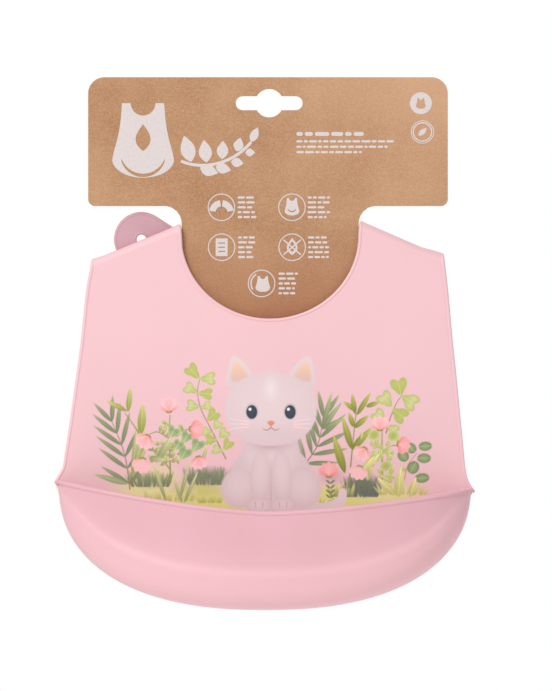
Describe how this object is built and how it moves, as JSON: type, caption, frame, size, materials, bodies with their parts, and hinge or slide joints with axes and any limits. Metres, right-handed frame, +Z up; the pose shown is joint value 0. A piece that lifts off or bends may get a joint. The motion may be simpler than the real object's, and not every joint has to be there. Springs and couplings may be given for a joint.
{
  "type": "silicone feeding bib",
  "caption": "Soft silicone feeding bib with a deep catch pocket and adjustable button neck straps, folded round its kraft hanging card",
  "frame": {"origin": "centre of the neck opening, at mid thickness of the front panel", "axes": "+Z up as worn or hung, the printed front faces -Y, +X to the right seen from the front"},
  "size_m": [0.2109, 0.0511, 0.2655],
  "materials": {
    "silicone_back": "satin moulded silicone",
    "printed_film": "soft matte print",
    "kraft_card": "uncoated kraft"
  },
  "bodies": {
    "bib": {"front_panel": "silicone_back", "front_print_layer": "printed_film", "catch_pocket": "silicone_back", "left_shoulder_fold": "silicone_back", "right_shoulder_fold": "silicone_back"},
    "mouth_rim": {"pocket_rim": "silicone_back"},
    "left_strap": {"peg_strap": "silicone_back", "inner_fastening_peg": "silicone_back", "outer_fastening_peg": "silicone_back"},
    "right_strap": {"hole_strap": "silicone_back"},
    "card": {"header_card": "kraft_card"}
  },
  "joints": [
    {"name": "right_strap_fold", "type": "hinge", "parent": "bib", "child": "right_strap", "pos_m": [0.04429, 0.00375, 0.00253], "axis": [0.9297, 0, -0.3683], "range_deg": [0, 110], "deforming": ["right_shoulder_fold", "inner_fastening_peg", "outer_fastening_peg"]},
    {"name": "left_strap_fold", "type": "hinge", "parent": "bib", "child": "left_strap", "pos_m": [-0.04423, 0.00245, 0.00215], "axis": [0.9248, 0, 0.3805], "range_deg": [0, 77], "deforming": ["left_shoulder_fold", "inner_fastening_peg", "outer_fastening_peg"]},
    {"name": "pocket_mouth_flex", "type": "hinge", "parent": "bib", "child": "mouth_rim", "pos_m": [-0.0025, -0.0016, -0.124], "axis": [1, 0, 0], "range_deg": [-10, 15], "stiffness_Nm_per_rad": 0.1, "deforming": ["catch_pocket"]},
    {"name": "card_lift", "type": "slide", "parent": "bib", "child": "card", "axis": [0, 0, 1], "range_m": [0, 0.075]}
  ],
  "couplings": [
    {"joint": "left_strap_fold", "follows": "right_strap_fold", "ratio": 0.7}
  ]
}
